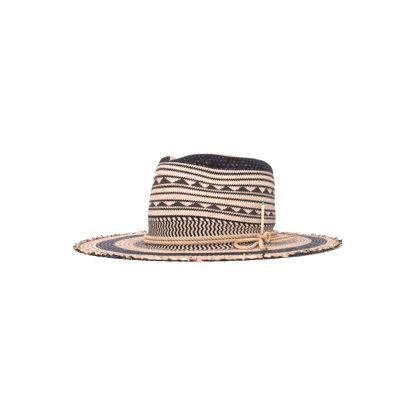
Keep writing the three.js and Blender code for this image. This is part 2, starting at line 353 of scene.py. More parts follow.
# cos(2 pi value)
def wave(tree, value):
    angle = addNode(tree, "Math", value, 2 * math.pi, operation="MULTIPLY")[0]
    return addNode(tree, "Math", angle, operation="COSINE")[0]


# |first - second|
def gap(tree, first, second):
    away = addNode(tree, "Math", first, second, operation="SUBTRACT")[0]
    return addNode(tree, "Math", away, operation="ABSOLUTE")[0]


# How far the value's fraction lies from its middle, 0 to 0.5
def offMiddle(tree, value):
    return gap(tree, addNode(tree, "Math", value, operation="FRACT")[0], 0.5)


# Positive inside a stretch of the value, negative outside
def inside(tree, value, start, end):
    after = addNode(tree, "Math", value, start, operation="SUBTRACT")[0]
    before = addNode(tree, "Math", end, value, operation="SUBTRACT")[0]
    return pickOf(tree, "MINIMUM", after, before)


# A random number for each pair of whole numbers
def cellNumber(tree, first, second):
    cell = addNode(tree, "CombineXYZ", first, second)[0]
    return addNode(tree, "TexWhiteNoise", cell, noise_dimensions="2D")[0]


# Blotches of as many millimetres as the look says
def blotches(tree, look):
    return addNode(tree, "TexNoise", named={
        "Vector": addNode(tree, "TexCoord")["Object"], "Scale": 1 / (look["blotch"] * metresPerMm),
        "Detail": look["blotchDetail"]})[0]


# Fibres along a tube, as many round it and as many millimetres long as the look says
def fibresAlong(tree, look):
    place = addNode(tree, "UVMap", uv_map="straws")[0]
    scale = (look["fibresRound"], 1 / look["fibreLength"], 1.0)
    return addNode(tree, "TexNoise", named={
        "Vector": addNode(tree, "Mapping", named={0: place, 3: scale})[0], "Scale": 1.0,
        "Detail": look["fibreDetail"], "Roughness": look["fibreRoughness"]})[0]


# A colour with others over it, each given with its share
def layered(tree, colour, *layers):
    for share, over in layers:
        colour = addNode(tree, "Mix", named={0: share, 6: colour, 7: over}, data_type="RGBA")[2]
    return colour


# A material with the IOR of plant matter and paint and the look's plain numbers, its node tree and
# its shader
def newMaterial(name, look):
    material = bpy.data.materials.new(name)
    material.use_nodes = True
    tree = material.node_tree
    shader = next(n for n in tree.nodes if n.type == "BSDF_PRINCIPLED")
    numbers = {"IOR": 1.5, "Roughness": look["roughness"], "Specular IOR Level": look["specular"]}
    for key, value in numbers.items():
        shader.inputs[key].default_value = value
    return material, tree, shader


# Gives the shader colour * shade, and the height as a bump of the look's strength and millimetres
def coat(tree, shader, look, colour, height, shade=white):
    shaded = addNode(tree, "Mix", named={0: 1.0, 6: colour, 7: shade}, data_type="RGBA",
                     blend_type="MULTIPLY")[2]
    tree.links.new(shaded, shader.inputs["Base Color"])
    bump = addNode(tree, "Bump", named={
        "Strength": look["bump"], "Distance": look["relief"] * metresPerMm, "Height": height})[0]
    tree.links.new(bump, shader.inputs["Normal"])


# Palm straw, stripped, sun bleached and woven by hand in a twill, with straws dyed near black.
# Each float shows as a slanted ridge of its own tone, and edges of the dyed pattern are toothed by
# the floats that cross them. A weave says how many go round the hat and how far each row shifts
# them, and a mix holds the weights of a sum and what is added to it. Rows are about 1.5 mm, and
# blotch and relief are in millimetres. Fibres are drawn coarser than real ones, so that they show.
strawLook = {
    "roughness": 0.6, "specular": 0.12,
    "natural": ((0.0, "#b08c78"), (0.22, "#d2b39f"), (0.5, "#e5cbb9"), (0.75, "#ddbfb1"), (1.0, "#f3e0d3")),
    # paintedHighlight is the painted highlight on natural floats beside dyed ones, and glint the colour of
    # painted highlights on the band
    "paintedHighlight": "#f8e3d2", "faded": "#564b50", "glint": "#777b90",
    "dyed": ((0.0, "#0e060a"), (0.6, "#1d1118"), (1.0, "#352833")),
    # The painted sheen of the brim's dyed ring
    "paintedSheen": ((0.0, "#3d3541"), (0.5, "#655c6a"), (1.0, "#a097a6")),
    # The painted shade of grooves between floats
    "shades": ((0.3, "#9d897e"), (0.6, "#dfd2ca"), (0.9, "#ffffff")),
    "crownWeave": (182, 0.48), "brimWeave": (364, 0.55), "cuts": (0.37, 0.28), "ridgeRows": 3.3,
    "blotch": 33.33, "blotchDetail": 3.0, "toneMix": (0.6, 0.75, -0.2), "sheenMix": (1.0, 0.26),
    "fadedRow": 70.0, "flatten": 0.5,
    "besideRange": (-1.5, -0.3, 0.0, 0.8), "fadedRange": (0.0, 0.6, 0.0, 0.42),
    "dyedRange": (-0.16, 0.16, 0.0, 1.0), "grooveRange": (-1.0, 0.2, 0.48, 1.0),
    "foldRange": (-1.0, 0.7, 0.6, 1.12),
    "fibres": (6.0, 0.4, 1.0), "fibreDetail": 2.0, "bumpMix": (0.5, 1.0), "bump": 0.8, "relief": 0.25,
    "teeth": (182, 0.28), "edgeMix": (0.3, 1.0),
    "lines": {"rows": (61.2, 66.2, 72.1, 81.0, 87.0, 94.0, 102.3), "mix": (0.6, -1.0, 1.26)},
    "zigzag": {"rows": (113.3, 149.8), "foldRows": 2.75, "weave": (106, 0.17), "mix": (-5.0, -0.3, 1.6)},
    "ragged": {"rows": (108.1, 113.9), "weave": (73, -0.12), "steep": 4.0, "width": -0.9,
               "middle": 112.0, "half": 1.35},
    "glints": {"weave": (84, 0.5), "rows": 2.7, "halfWide": 0.24, "halfTall": 0.19, "end": 58.4,
               "edgeRange": (0.0, 0.12, 0.0, 1.0), "brightRange": (0.0, 1.0, 0.1, 0.85)},
}


# The dyed pattern of rows, over 0 where the straw is dyed. All is measured in rows.
def dyedField(tree, look, turn, row, dark, sideShade):
    teeth = wave(tree, weightedSum(tree, turn, row, *look["teeth"]))
    lines = look["lines"]
    away = pickOf(tree, "MINIMUM", *[gap(tree, row, at) for at in lines["rows"]])
    line = weightedSum(tree, teeth, away, *lines["mix"])
    shapes = weightedSum(tree, teeth, dark, *look["edgeMix"])
    # Zigzags: the row, folded back and forth, shifts each stripe sideways, and painted shade widens the dark
    # stripes on one side of the hat
    zigzag = look["zigzag"]
    fold = addNode(tree, "Math", row, zigzag["foldRows"], operation="PINGPONG")[0]
    off = offMiddle(tree, weightedSum(tree, turn, fold, *zigzag["weave"]))
    stripe = weightedSum(tree, off, sideShade, *zigzag["mix"])
    stripe = pickOf(tree, "MINIMUM", stripe, inside(tree, row, *zigzag["rows"]))
    # Over them a dark strip holds slanted natural beads
    ragged = look["ragged"]
    off = offMiddle(tree, weightedSum(tree, turn, row, *ragged["weave"]))
    beads = addNode(tree, "Math", off, ragged["steep"], ragged["width"], operation="MULTIPLY_ADD")[0]
    away = gap(tree, row, ragged["middle"])
    away = addNode(tree, "Math", away, ragged["half"], operation="SUBTRACT")[0]
    strip = weightedSum(tree, teeth, inside(tree, row, *ragged["rows"]), *look["edgeMix"])
    strip = pickOf(tree, "MINIMUM", pickOf(tree, "MAXIMUM", beads, away), strip)
    return pickOf(tree, "MAXIMUM", line, shapes, stripe, strip)


# Painted highlights: pale blue-grey flecks where dyed floats catch the light, in staggered cells over the
# crown's band
def bandGlints(tree, glints, turn, row):
    tall = addNode(tree, "Math", row, 1 / glints["rows"], operation="MULTIPLY")[0]
    step = addNode(tree, "Math", tall, operation="FLOOR")[0]
    across = weightedSum(tree, turn, step, *glints["weave"])
    sides = [addNode(tree, "Math", glints[half], offMiddle(tree, value), operation="SUBTRACT")[0]
             for half, value in (("halfWide", across), ("halfTall", tall))]
    fleck = pickOf(tree, "MINIMUM", *sides, inside(tree, row, 0.0, glints["end"]))
    chance = cellNumber(tree, addNode(tree, "Math", across, operation="FLOOR")[0], step)
    paintedHighlight = addNode(tree, "MapRange", chance, *glints["brightRange"])[0]
    shown = addNode(tree, "MapRange", fleck, *glints["edgeRange"])[0]
    return addNode(tree, "Math", shown, paintedHighlight, operation="MULTIPLY")[0]


def wovenStraw(look):
    material, tree, shader = newMaterial("palm straw, sun bleached, hand woven", look)
    turn, row = addNode(tree, "SeparateXYZ", addNode(tree, "UVMap", uv_map="straws")[0])[:2]
    dark, sideShade, shift, sheenShare = (addNode(tree, "Attribute", attribute_name=key)[2]
                               for key in ("dark", "sideShade", "shift", "sheenShare"))
    patternRow = addNode(tree, "Math", row, shift, operation="ADD")[0]
    # Floats slant one way on the crown, and on the brim they turn back every few rows
    onBrim = addNode(tree, "Math", row, float(brimRow), operation="GREATER_THAN")[0]
    folded = addNode(tree, "Math", row, look["ridgeRows"], operation="PINGPONG")[0]
    crownFloats = weightedSum(tree, turn, row, *look["crownWeave"])
    brimFloats = weightedSum(tree, turn, folded, *look["brimWeave"])
    floats = addNode(tree, "Mix", named={0: onBrim, 2: crownFloats, 3: brimFloats})[0]
    ridge = wave(tree, floats)
    # One number for each float, which shows for a few rows
    which = addNode(tree, "Math", floats, operation="ROUND")[0]
    length = weightedSum(tree, which, row, *look["cuts"])
    tone = cellNumber(tree, which, addNode(tree, "Math", length, operation="FLOOR")[0])
    mixedTone = weightedSum(tree, tone, blotches(tree, look), *look["toneMix"])
    natural = addNode(tree, "ValToRGB", mixedTone, stops=look["natural"])[0]
    field = dyedField(tree, look, turn, patternRow, dark, sideShade)
    # Painted highlight: natural floats are lighter beside dyed ones
    beside = addNode(tree, "MapRange", field, *look["besideRange"])[0]
    natural = layered(tree, natural, (beside, linear(look["paintedHighlight"])))
    # The dyed straw gets painted highlights in the band, is a little faded in the triangles and has a painted
    # sheen on the brim, lighter on its ridges
    glint = bandGlints(tree, look["glints"], turn, row)
    triangles = pickOf(tree, "MINIMUM", dark, inside(tree, row, look["fadedRow"], float(brimRow)))
    faded = addNode(tree, "MapRange", triangles, *look["fadedRange"])[0]
    fold = wave(tree, addNode(tree, "Math", row, 1 / look["ridgeRows"], operation="MULTIPLY")[0])
    sheenTone = weightedSum(tree, mixedTone, fold, *look["sheenMix"])
    paintedSheen = addNode(tree, "ValToRGB", sheenTone, stops=look["paintedSheen"])[0]
    dyed = addNode(tree, "ValToRGB", tone, stops=look["dyed"])[0]
    dyed = layered(tree, dyed, (glint, linear(look["glint"])), (faded, linear(look["faded"])), (sheenShare, paintedSheen))
    isDyed = addNode(tree, "MapRange", field, *look["dyedRange"])[0]
    colour = layered(tree, natural, (isDyed, dyed))
    # Painted shade: grooves between floats are darker. The brim's floats are finer, and painted shade makes
    # its folds darker than its ridges.
    groove = addNode(tree, "MapRange", ridge, *look["grooveRange"])[0]
    flat = addNode(tree, "Math", groove, look["flatten"], 1 - look["flatten"], operation="MULTIPLY_ADD")[0]
    foldShade = addNode(tree, "MapRange", fold, *look["foldRange"])[0]
    foldShade = addNode(tree, "Math", foldShade, flat, operation="MULTIPLY")[0]
    crownShade = addNode(tree, "ValToRGB", groove, stops=look["shades"])[0]
    # Fine fibres run along each float
    along = addNode(tree, "CombineXYZ", floats, row)[0]
    along = addNode(tree, "Mapping", named={0: along, 3: look["fibres"]})[0]
    fibre = addNode(tree, "TexNoise", named={"Vector": along, "Scale": 1.0, "Detail": look["fibreDetail"]})[0]
    high = weightedSum(tree, fibre, ridge, *look["bumpMix"])
    coat(tree, shader, look, colour, high, layered(tree, crownShade, (onBrim, foldShade)))
    return material


# Crown and brim, woven as one

# Dyed triangles point up between rows, at these azimuths where they are seen, and evenly behind.
# The black band starts further out where natural straw shows over the ridge and in the crease. The
# pattern strays from the rows in places: each stray has its azimuth, its width and how far it goes
# at some rows. The inner sheet has a point to every row only over the wall. Each wave is a height
# and, for two sines, how often they go round and the rows they turn in.
body = {
    "columns": 330, "wallRows": (57, 103), "innerStep": 4, "weaveHeight": 0.11, "ripple": 0.3,
    "rippleRows": 3.3, "rippleGrows": 4, "waver": 0.3, "waves": ((1, 7, 9, 3, 6.1), (0.6, 19, -5, 0, 3.7)),
    "edgeFade": 12, "middleFade": (2, 8), "tipRow": -2,
    "band": (44, 58.7), "bandShifts": ((60, 26, 3.4), (-6.5, 9.5, 7.5)),
    "patternStrays": ((34, 34, (75, 82, 88, 95, 103, 110, 121, 129), (0, 0.6, 1.6, 2.9, 3.3, 3.9, 2.4, 0)),
                      (12, 16, (50, 57, 66, 72, 78, 88, 95), (0, -1.9, -2.3, -0.9, 1.2, 1, 0)),
                      (76, 17, (50, 57, 66, 73, 80), (0, -1.0, -1.2, -0.7, 0)),
                      (128, 30, (152, 164, 180, 191), (0, -0.5, -1.3, 0)),
                      (10, 15, (152, 167, 176, 191), (0, -2.4, -0.6, 0)),
                      (42, 26, (152, 168, 178, 191), (0, 0, 1.8, 0))),
    "triangleRows": ((72.5, 78.4), (94.5, 99.7)), "footTrim": 0.6, "footRows": 0.4, "triangleCount": 25,
    "apexes": ((-4.5, 16.4, 29.8, 42, 55.5, 70.5, 86, 99.5, 113),
               (-21, -5, 13, 29.2, 44.5, 58, 69, 80.5, 93.2, 107.5)),
    "ringRows": (164, 180.3), "farthest": 1.5,
    # Painted sheen on the brim's dyed ring: least at this azimuth and most a quarter round from it, growing
    # in over these rows, between these shares
    "leastSheenAt": 38 * degree, "sheenRows": (136, 140), "sheenShares": (0.1, 1.0),
}


# Counts triangles from one apex to the next, evenly outside the listed azimuths
def triangleCount(azimuth, apexes, total):
    apexes = np.array(apexes, float)
    rest = (apexes[0] + 360 - apexes[-1]) / (total - len(apexes) + 1)
    behind = apexes[-1] + rest * np.arange(1, total - len(apexes) + 1)
    places = np.concatenate([apexes, behind, [apexes[0] + 360]])
    turned = np.mod(np.degrees(azimuth) - apexes[0], 360) + apexes[0]
    return np.interp(turned, places, np.arange(total + 1))


# Rows inside a dyed triangle, the black band or the brim's ring: over 0 inside. A triangle is as
# wide as the rows under its apex are deep, up to its whole pitch near its foot.
def dyedShapes(body, azimuth, row):
    field = np.full(row.shape, -body["farthest"])
    for (top, foot), apexes in zip(body["triangleRows"], body["apexes"]):
        part = np.mod(triangleCount(azimuth, apexes, body["triangleCount"]) + 0.5, 1) - 0.5
        slope = row - top - 2 * np.abs(part) * (foot - top - body["footTrim"])
        field = np.maximum(field, np.minimum(slope, foot + body["footRows"] - row))
    start, end = body["band"]
    start = start + bells(azimuth, body["bandShifts"])
    for low, high in ((start, end), body["ringRows"]):
        field = np.maximum(field, np.minimum(row - low, high - row))
    return np.minimum(field, body["farthest"])


# 0 before the first of two rows and 1 past the second, straight between them
def grows(row, start, end):
    return np.clip((row - start) / (end - start), 0, 1)


# Two sheets of the straw surface, outside and inside, joined at the edge. The outside stands off by
# half the straw, a checkered weave height and, on the brim, a ripple that is a cosine of the row.
# Both waver a little, by sines of azimuth and row, and a fan closes the middle of each. The pattern
# strays by the sum of the strays, each a bell round its azimuth.
def makeBody(body):
    columns = body["columns"]
    low, high = body["wallRows"]
    step = body["innerStep"]
    inner = np.concatenate([np.arange(0, low, step), np.arange(low, high),
                            np.arange(high, lastRow, step), [lastRow]])
    rows = np.concatenate([np.arange(lastRow + 1), inner[::-1]]).astype(float)
    outside = (np.arange(len(rows)) <= lastRow)[:, None]
    column, row = np.meshgrid(np.arange(columns, dtype=float), rows)
    azimuth = column / columns * 2 * np.pi
    fade = grows(row, lastRow, lastRow - body["edgeFade"]) * grows(row, *body["middleFade"])
    waver = sum(height * np.sin(often * azimuth + row / period) * np.sin(again * azimuth + row / other)
                for height, often, period, again, other in body["waves"])
    ripple = body["ripple"] * np.cos(2 * np.pi * row / body["rippleRows"])
    ripple = ripple * grows(row, brimRow, brimRow + body["rippleGrows"])
    checker = body["weaveHeight"] * (-1.0) ** (column + row)
    away = np.where(outside, strawHalf + checker + ripple * fade, -strawHalf)
    normal = strawNormal(azimuth, row)
    points = strawAt(azimuth, row) + normal * (away + fade * body["waver"] * waver)[..., None]
    points[..., 2] = np.maximum(points[..., 2], 0)
    faces, corners = gridFaces(len(rows), columns)
    j = np.arange(columns)
    k = (j + 1) % columns
    foot = (len(rows) - 1) * columns
    last = len(rows) * columns
    fans = [np.stack([np.full_like(j, last), j, k], 1),
            np.stack([np.full_like(j, last + 1), foot + k, foot + j], 1)]
    tips = np.stack([points[0].mean(0), points[-1].mean(0)])
    uv = np.stack([corners[..., 1] / columns, rows[corners[..., 0]]], -1).reshape(-1, 2)
    fanUv = np.stack([np.stack([j, j * 0 + body["tipRow"]], -1), np.stack([j, j * 0], -1),
                      np.stack([j + 1, j * 0], -1)], 1)
    fanUv = np.tile(fanUv.reshape(-1, 2) / (columns, 1), (2, 1))
    stray = sum(np.interp(row, strayRows, far) * bell(azimuth, at * degree, width * degree)
                for at, width, strayRows, far in body["patternStrays"])
    dark = dyedShapes(body, azimuth, row + stray)
    # Painted sheen on the brim, least at one azimuth and most a quarter round from it
    leastSheen, paintedSheen = body["sheenShares"]
    aside = np.sin(azimuth - body["leastSheenAt"])
    sheenShare = (leastSheen + (paintedSheen - leastSheen) * aside ** 2) * grows(row, *body["sheenRows"])
    # The same sine paints shade on one side of the zigzags
    values = {"dark": (dark, -body["farthest"]), "sideShade": (aside, 0), "sheenShare": (sheenShare, 0), "shift": (stray, 0)}
    piece = makeMesh("woven_straw", np.vstack([points.reshape(-1, 3), tips]), [faces, *fans],
                     np.vstack([uv, fanUv]),
                     {key: np.append(grid.ravel(), [tip, tip]) for key, (grid, tip) in values.items()})
    finish(piece, wovenStraw(strawLook), "straw", "straw_body")


makeBody(body)
print("crown and brim woven")


# Frayed edge

# Cut straw ends, dry and ragged, some of them dyed. Each has a tone of its own, long fine fibres and painted
# shade, orange-brown, on its underside. Fibres are in millimetres along.
endLook = {
    "roughness": 0.7, "specular": 0.2,
    "natural": ((0.0, "#b78563"), (0.3, "#caa182"), (0.65, "#d5b299"), (1.0, "#dfc4ae")),
    "undersideShade": "#a87a5c", "underRange": (0.22, 0.06, 0.0, 0.75),
    "dyed": ((0.0, "#0f070b"), (0.6, "#20151b"), (1.0, "#453a44")),
    "fibresRound": 9.0, "fibreLength": 4.0, "fibreDetail": 3.0, "fibreRoughness": 0.5,
    "toneMix": (0.6, 0.9, -0.2), "bump": 0.6, "relief": 0.2,
}


def cutStraw(look):
    material, tree, shader = newMaterial("palm straw ends, cut and frayed", look)
    tone, dark = (addNode(tree, "Attribute", attribute_name=key)[2] for key in ("tone", "dark"))
    fibre = fibresAlong(tree, look)
    mixedTone = weightedSum(tree, fibre, tone, *look["toneMix"])
    natural, dyed = (addNode(tree, "ValToRGB", mixedTone, stops=look[key])[0]
                     for key in ("natural", "dyed"))
    turn = addNode(tree, "SeparateXYZ", addNode(tree, "UVMap", uv_map="straws")[0])[0]
    # Painted shade: orange-brown on the underside of each end
    undersideShade = addNode(tree, "MapRange", offMiddle(tree, turn), *look["underRange"])[0]
    coat(tree, shader, look, layered(tree, natural, (undersideShade, linear(look["undersideShade"])), (dark, dyed)), fibre)
    return material


endMaterial = cutStraw(endLook)


# A point off the edge: out millimetres outwards and z above the lifted brim
def edgeAt(azimuth, out, z):
    azimuth, out, z = np.broadcast_arrays(azimuth, out, z)
    points = strawAt(azimuth, lastRow) + out[..., None] * outWay(azimuth)
    points[..., 2] = brimRise(azimuth) + z
    return points


# The fringe is packed into lumps on one side of the hat, and looser and longer towards the next.
# The middles of its cut ends and of loose straws stay at least floor over the ground.
fringe = {"packedAt": 38 * degree, "looseAt": -52 * degree, "reach": 1.4, "floor": 1.2}


# From 1 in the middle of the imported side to 0 a quarter round from it
def packed(azimuth):
    return np.clip(np.cos(azimuth - fringe["packedAt"]), 0, 1)


# From 1 where the fringe is loosest to -1 opposite
def loose(azimuth):
    return np.cos(azimuth - fringe["looseAt"])


# Lumps where the last straws are turned in: spindles that follow the edge at a slight slope, as
# thick as a sine lobe to a low power. Those underneath are mostly dyed. thick makes some thicker
# or thinner and paler makes some natural, both as bells. Pairs are the limits of random draws.
rollShape = {"jitter": 0.35, "blunt": 0.04, "lobePower": 0.5, "packPower": 0.35, "sizes": (0.75, 1.15),
             "slopes": (0.3, 1.5), "outs": (-0.6, 0.6), "heights": (-0.3, 0.35), "fall": 0.4,
             "clear": 0.05, "paler": ((27, 10, 0.5),)}
rolls = {**rollShape, "count": 112, "steps": 9, "sides": 8, "halfHigh": 1.9, "halfWide": 2.5, "out": 1.7,
         "z": 2.9, "slope": 2.2, "darkShare": 0.04, "least": 0.22, "thick": (), "seed": 51}
underRolls = {**rollShape, "count": 120, "steps": 6, "sides": 6, "halfHigh": 1.4, "halfWide": 1.9,
              "out": 3.4, "z": 1.2, "slope": 1.4, "darkShare": 0.94, "least": 0.35, "seed": 52,
              "thick": ((-2, 18, 1.0), (80, 18, 0.25), (26, 10, -0.3))}


def makeRolls(name, roll):
    rng = np.random.default_rng(roll["seed"])
    count = roll["count"]
    jitter = roll["jitter"]
    edges = np.sort((np.arange(count) + rng.uniform(-jitter, jitter, count)) / count) * 2 * np.pi
    widths = np.diff(np.append(edges, edges[0] + 2 * np.pi))
    share = np.linspace(0, 1, roll["steps"])[None]
    azimuth = edges[:, None] + widths[:, None] * share
    lobe = np.sin(np.pi * np.clip(share, roll["blunt"], 1 - roll["blunt"])) ** roll["lobePower"]
    size = roll["least"] + (1 - roll["least"]) * packed(azimuth) ** roll["packPower"]
    size = size * rng.uniform(*roll["sizes"], (count, 1))
    slope = roll["slope"] * rng.uniform(*roll["slopes"], (count, 1)) * (share - 0.5)
    out = roll["out"] + rng.uniform(*roll["outs"], (count, 1)) + fringe["reach"] * loose(azimuth) + slope
    half = roll["halfHigh"] * size * (1 + bells(azimuth, roll["thick"])) * lobe
    z = roll["z"] + rng.uniform(*roll["heights"], (count, 1)) - roll["fall"] * slope
    z = np.maximum(z, half + roll["clear"])
    darkShare = roll["darkShare"] * (1 - bells(edges, roll["paler"]))
    dark = (rng.uniform(0, 1, count) < darkShare).astype(float)
    return tubes(name, edgeAt(azimuth, out, z), half, roll["halfWide"] * size * lobe, upwards,
                 roll["sides"], {"tone": rng.uniform(0, 1, count), "dark": dark})


# Cut ends: short flat strips that leave the edge at a random slant and bend up or down. There are
# few of them where the fringe is packed. Angles are in radians, yaw, tilt and bend are the spread
# of their draws, and taper narrows each strip along its length.
stubs = {"count": 1100, "sides": 4, "halfHigh": 0.5, "halfWide": 1.3, "widths": (0.6, 1.35),
         "taper": (1, 1, 0.92, 0.7), "length": (2.8, 6.2), "looseLength": 0.3, "longer": ((128, 20, 0.6),),
         "outs": (-2.2, 2.6), "heights": (0.8, 4.0), "yaw": 0.5, "tilt": 0.25, "bend": 0.2,
         "thinned": 0.8, "thinPower": 0.5, "darkShare": 0.68, "darkMean": 0.5, "darkSwing": 1.3,
         "darkLeast": 0.2, "seed": 53}


def makeStubs(name, stub):
    rng = np.random.default_rng(stub["seed"])
    azimuth = rng.uniform(0, 2 * np.pi, stub["count"])
    kept = 1 - stub["thinned"] * packed(azimuth) ** stub["thinPower"]
    azimuth = azimuth[rng.uniform(0, 1, stub["count"]) < kept][:, None]
    count = len(azimuth)
    longer = 1 + stub["looseLength"] * loose(azimuth) + bells(azimuth, stub["longer"])
    length = rng.uniform(*stub["length"], (count, 1)) * longer
    yaw = rng.normal(0, stub["yaw"], (count, 1))
    tilt = rng.normal(0, stub["tilt"], (count, 1))
    out = rng.uniform(*stub["outs"], (count, 1)) + fringe["reach"] * loose(azimuth)
    z = rng.uniform(*stub["heights"], (count, 1))
    taper = np.array(stub["taper"])
    share = np.linspace(0, 1, len(taper))[None]
    rise = share * tilt + share ** 2 * rng.normal(0, stub["bend"], (count, 1))
    paths = edgeAt(azimuth, out, z) + (length * share)[..., None] * outWay(azimuth + yaw)
    paths[..., 2] = np.maximum(paths[..., 2] + length * rise, fringe["floor"])
    darker = stub["darkMean"] + stub["darkSwing"] * np.cos(azimuth - fringe["packedAt"])
    darkShare = stub["darkShare"] * np.clip(darker, stub["darkLeast"], 1)
    dark = (rng.uniform(0, 1, (count, 1)) < darkShare).astype(float)
    wide = stub["halfWide"] * rng.uniform(*stub["widths"], (count, 1)) * taper
    return tubes(name, paths, stub["halfHigh"], wide, upwards, stub["sides"],
                 {"tone": rng.uniform(0, 1, count), "dark": dark}, twist=np.pi / 4)


# A few loose straws that lie across the edge: azimuth in degrees, where each starts and ends
# out from the edge, how far its end is turned aside in degrees, half width, dyed or not and tone
strays = ((55.4, -25, 7.6, -2.5, 1.1, 0, 0.55), (57.4, -20, -7, -1.4, 1.4, 0, 0.05),
          (63.9, -18, 3.5, -2.8, 1.2, 1, 0.4), (33.2, -6, 5, 1.2, 0.9, 1, 0.6),
          (12, -5, 6, -1.4, 0.8, 0, 0.9), (-8, -8, 5.5, 1.5, 0.9, 1, 0.5), (-22, -4, 7, -1, 0.8, 0, 0.2),
          (83, -7, 4, 1.3, 1.1, 1, 0.3), (98, -9, 4, -1.2, 1, 0, 0.1), (-117, -3, 8, 1, 0.7, 1, 0.5),
          (160, -6, 6, 1.4, 0.9, 1, 0.4), (214, -6, 6, -1.1, 0.9, 0, 0.7))
strayShape = {"steps": 10, "sides": 6, "halfHigh": 0.45, "rowPitch": 1.55, "clear": 0.9, "hump": 2.2,
              "humpWidth": 4, "drop": 0.35}


# Each follows the straw's top at its azimuth with a hump over the edge, and past it drops to the
# floor
def makeStrays(name, strays, shape):
    at, start, end, aside, half, dark, tone = np.array(strays, float).T[..., None]
    share = np.linspace(0, 1, shape["steps"])[None]
    azimuth = (at + aside * share) * degree
    out = start + (end - start) * share
    row = np.clip(lastRow + out / shape["rowPitch"], brimRow, lastRow)
    top = standOff(azimuth, row, shape["clear"])
    past = np.maximum(out, 0)
    rise = shape["hump"] * np.exp(-((out / shape["humpWidth"]) ** 2)) - shape["drop"] * past
    paths = top + past[..., None] * outWay(azimuth) + rise[..., None] * upwards
    paths[..., 2] = np.maximum(paths[..., 2], fringe["floor"])
    return tubes(name, paths, shape["halfHigh"], half, upwards, shape["sides"], {"tone": tone, "dark": dark})


for piece in (makeRolls("edge_rolls", rolls), makeRolls("edge_underside", underRolls),
              makeStubs("edge_stubs", stubs), makeStrays("loose_straws", strays, strayShape)):
    finish(piece, endMaterial, "straw_ends", "brim_fringe")
print("edge frayed")


# Rope

# Sisal or jute twine of three strands, dry and matt, with fibres that run along each strand. Painted shade
# darkens its grooves, and where it was singed or never bleached it is orange-brown. Blotches and fibres are
# in millimetres, and a groove's limits are shares of the rope's radius.
ropeLook = {
    "roughness": 0.85, "specular": 0.15,
    "fibre": ((0.0, "#9c775c"), (0.35, "#caa486"), (0.65, "#e2bfa3"), (1.0, "#fbe8d8")),
    "twine": ((0.0, "#b0886a"), (0.35, "#d8b090"), (0.65, "#e9c8ac"), (1.0, "#fae8d8")),
    "pale": ((0.0, "#c29f82"), (0.5, "#d6b89c"), (1.0, "#e6cdb4")),
    "burnt": "#a5652f", "grooveFrom": 0.6, "grooveTo": 0.97, "grooveShade": (0.45, 1.0),
    "fibresRound": 7.0, "fibreLength": 4.545, "fibreDetail": 4.0, "fibreRoughness": 0.6,
    "blotch": 16.67, "blotchDetail": 2.0, "toneMix": (0.5, 1.1, -0.3), "bump": 0.9, "relief": 0.3,
}


def twistedFibre(look, name, tones, radius):
    material, tree, shader = newMaterial(name, look)
    fibre = fibresAlong(tree, look)
    tone = weightedSum(tree, blotches(tree, look), fibre, *look["toneMix"])
    colour = addNode(tree, "ValToRGB", tone, stops=look[tones])[0]
    burn, depth = (addNode(tree, "Attribute", attribute_name=key)[2] for key in ("burn", "depth"))
    # Painted shade: darker where a point lies deeper towards the rope's line
    limits = (look["grooveFrom"] * radius, look["grooveTo"] * radius, *look["grooveShade"])
    groove = addNode(tree, "MapRange", depth, *limits)[0]
    coat(tree, shader, look, layered(tree, colour, (burn, linear(look["burnt"]))), fibre, groove)
    return material


matchAt = 91.2  # the azimuth of the match's foot, in degrees

# Millimetres and degrees. The turns lie one over the other round the crown's foot, and bulge
# outwards over the match. The twine of the bow and the knot fluffs out to a little over its size.
# Three strands that touch each other fill a circle when their offset and radius are these shares
# of its radius.
rope = {"diameter": 5.1, "strands": 3, "strandOffset": 0.54, "strandRadius": 0.47, "lay": 13.5,
        "sides": 12, "step": 1.0, "bowStep": 0.8, "turnSteps": 640, "turnEnds": 0.6, "turnSpacing": 5.35,
        "clear": 0.3, "lift": 0.1, "lowerOut": 0.5, "fluff": 1.15, "burnShare": 0.6, "knotAt": 88,
        "halfWidth": 80.9, "halfLength": 96.9, "shiftX": 0.3, "shiftY": 0.6, "bulge": ((matchAt, 7, 3.9),)}


# Strand k's line is the path plus offset * (cos, sin)(turns + k / strands) in the plane across it
def laidRope(name, path, diameter, up, burn=0.0):
    strandRadius = rope["strandRadius"] * diameter / 2
    reach = np.linspace(0, pathLength(path), len(path))
    first, second = acrossPath(path, up)
    turns = reach / (rope["lay"] * diameter / rope["diameter"])
    turns = 2 * np.pi * (turns + np.arange(rope["strands"])[:, None] / rope["strands"])
    across = np.cos(turns)[..., None] * first + np.sin(turns)[..., None] * second
    strands = path + rope["strandOffset"] * diameter / 2 * across
    singed = np.broadcast_to(burn, (rope["strands"], len(path)))
    return tubes(name, strands, strandRadius, strandRadius, up, rope["sides"], {"burn": singed}, core=path)


# The rope's line round the crown's foot: an oval a little outside the wall, one level over the other
def bandLine(rope, level):
    ends = np.array([rope["turnEnds"], 360 - rope["turnEnds"]])
    azimuth = np.radians(np.linspace(*(rope["knotAt"] + ends), rope["turnSteps"]))
    height = strawAt(azimuth, ringTable["turn"][0])[..., 2]
    clear = strawHalf + rope["clear"] + rope["diameter"] / 2
    out = clear + rope["lowerOut"] * (1 - level) + bells(azimuth, rope["bulge"])
    x = (rope["halfWidth"] + out) * np.sin(azimuth) + rope["shiftX"]
    y = -(rope["halfLength"] + out) * np.cos(azimuth) + rope["shiftY"]
    return np.stack([x, y, height + clear + rope["lift"] + rope["turnSpacing"] * level], -1)


# The knot is one curl that stands upright in front of both turns: a spiral whose angle runs
# clockwise from straight up, seen from outside, with these radii at even steps. It comes out of
# the upper turn and its end is tucked in behind.
knot = {"x": 93.9, "y": 0.5, "z": 14.7, "diameter": 3.9, "start": -75, "end": 310,
        "radii": (9, 6.9, 6.1, 5.5, 4.7, 4.3, 4.2, 4), "lead": (89.5, -17, 19.3), "tuck": (90.5, -1, 14.5)}


